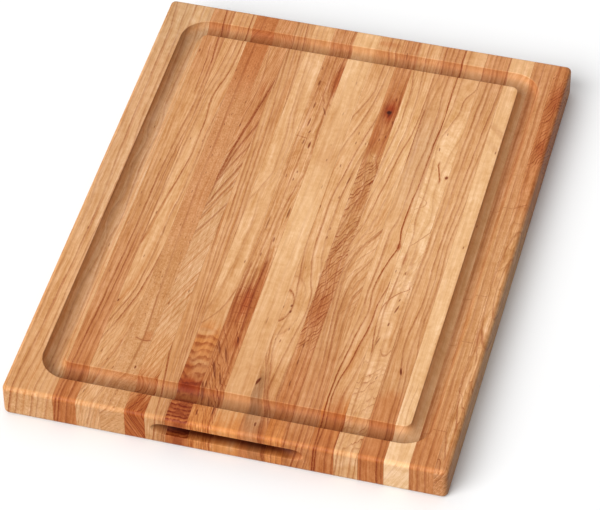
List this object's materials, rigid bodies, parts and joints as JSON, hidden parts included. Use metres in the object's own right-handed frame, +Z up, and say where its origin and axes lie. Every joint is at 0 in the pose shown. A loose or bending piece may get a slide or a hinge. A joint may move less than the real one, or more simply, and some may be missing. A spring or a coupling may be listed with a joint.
{
  "type": "cutting board",
  "caption": "Thick laminated hardwood cutting board with a round-bottomed juice groove around the work surface and a finger slot in each end.",
  "frame": {"origin": "centre of the resting face, on the surface that the board stands on", "axes": "+X across the staves, +Y along the wood grain and away from the user, +Z up out of the grooved work surface"},
  "size_m": [0.381, 0.508, 0.0318],
  "materials": {
    "stave_01": "oiled hardwood, sanded",
    "stave_02": "oiled hardwood, sanded",
    "stave_03": "oiled hardwood, sanded",
    "stave_04": "oiled hardwood, sanded",
    "stave_05": "oiled hardwood, sanded",
    "stave_06": "oiled hardwood, sanded",
    "stave_07": "oiled hardwood, sanded",
    "stave_08": "oiled hardwood, sanded",
    "stave_09": "oiled hardwood, sanded",
    "stave_10": "oiled hardwood, sanded",
    "stave_11": "oiled hardwood, sanded",
    "stave_12": "oiled hardwood, sanded",
    "stave_13": "oiled hardwood, sanded",
    "stave_14": "oiled hardwood, sanded",
    "stave_15": "oiled hardwood, sanded",
    "stave_16": "oiled hardwood, sanded",
    "stave_17": "oiled hardwood, sanded",
    "stave_18": "oiled hardwood, sanded",
    "glue": "dried wood glue, a thin translucent brown line"
  },
  "bodies": {
    "root": {"stave_01": "stave_01", "stave_02": "stave_02", "stave_03": "stave_03", "stave_04": "stave_04", "stave_05": "stave_05", "stave_06": "stave_06", "stave_07": "stave_07", "stave_08": "stave_08", "stave_09": "stave_09", "stave_10": "stave_10", "stave_11": "stave_11", "stave_12": "stave_12", "stave_13": "stave_13", "stave_14": "stave_14", "stave_15": "stave_15", "stave_16": "stave_16", "stave_17": "stave_17", "stave_18": "stave_18", "glue_line_01": "glue", "glue_line_02": "glue", "glue_line_03": "glue", "glue_line_04": "glue", "glue_line_05": "glue", "glue_line_06": "glue", "glue_line_07": "glue", "glue_line_08": "glue", "glue_line_09": "glue", "glue_line_10": "glue", "glue_line_11": "glue", "glue_line_12": "glue", "glue_line_13": "glue", "glue_line_14": "glue", "glue_line_15": "glue", "glue_line_16": "glue", "glue_line_17": "glue"}
  },
  "joints": []
}
